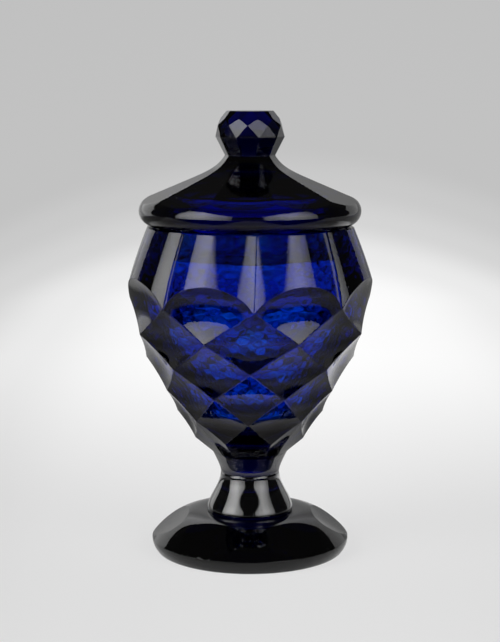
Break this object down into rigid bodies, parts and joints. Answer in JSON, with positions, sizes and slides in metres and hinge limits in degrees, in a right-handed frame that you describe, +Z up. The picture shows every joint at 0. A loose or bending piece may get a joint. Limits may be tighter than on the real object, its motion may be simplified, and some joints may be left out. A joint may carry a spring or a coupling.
{
  "type": "covered sugar bowl",
  "caption": "Footed cut-glass sugar bowl with a lift-off cover: a faceted hollow bowl on a short stem and round foot, and a panelled cover with a faceted knob.",
  "frame": {"origin": "centre of the foot's resting face, on the bowl's axis", "axes": "+Z up along the bowl's axis, -Y towards the front of the picture, +X to the right"},
  "size_m": [0.1042, 0.1042, 0.1898],
  "materials": {
    "cobalt_glass": "polished cut glass, so deep a blue that it looks nearly black where it is thick"
  },
  "bodies": {
    "footed_bowl": {"bowl": "cobalt_glass", "collar": "cobalt_glass", "stem": "cobalt_glass", "foot": "cobalt_glass"},
    "lid": {"cover": "cobalt_glass", "knob": "cobalt_glass"}
  },
  "joints": [
    {"name": "cover_lift", "type": "slide", "parent": "footed_bowl", "child": "lid", "axis": [0, 0, 1], "range_m": [0, 0.06]}
  ]
}
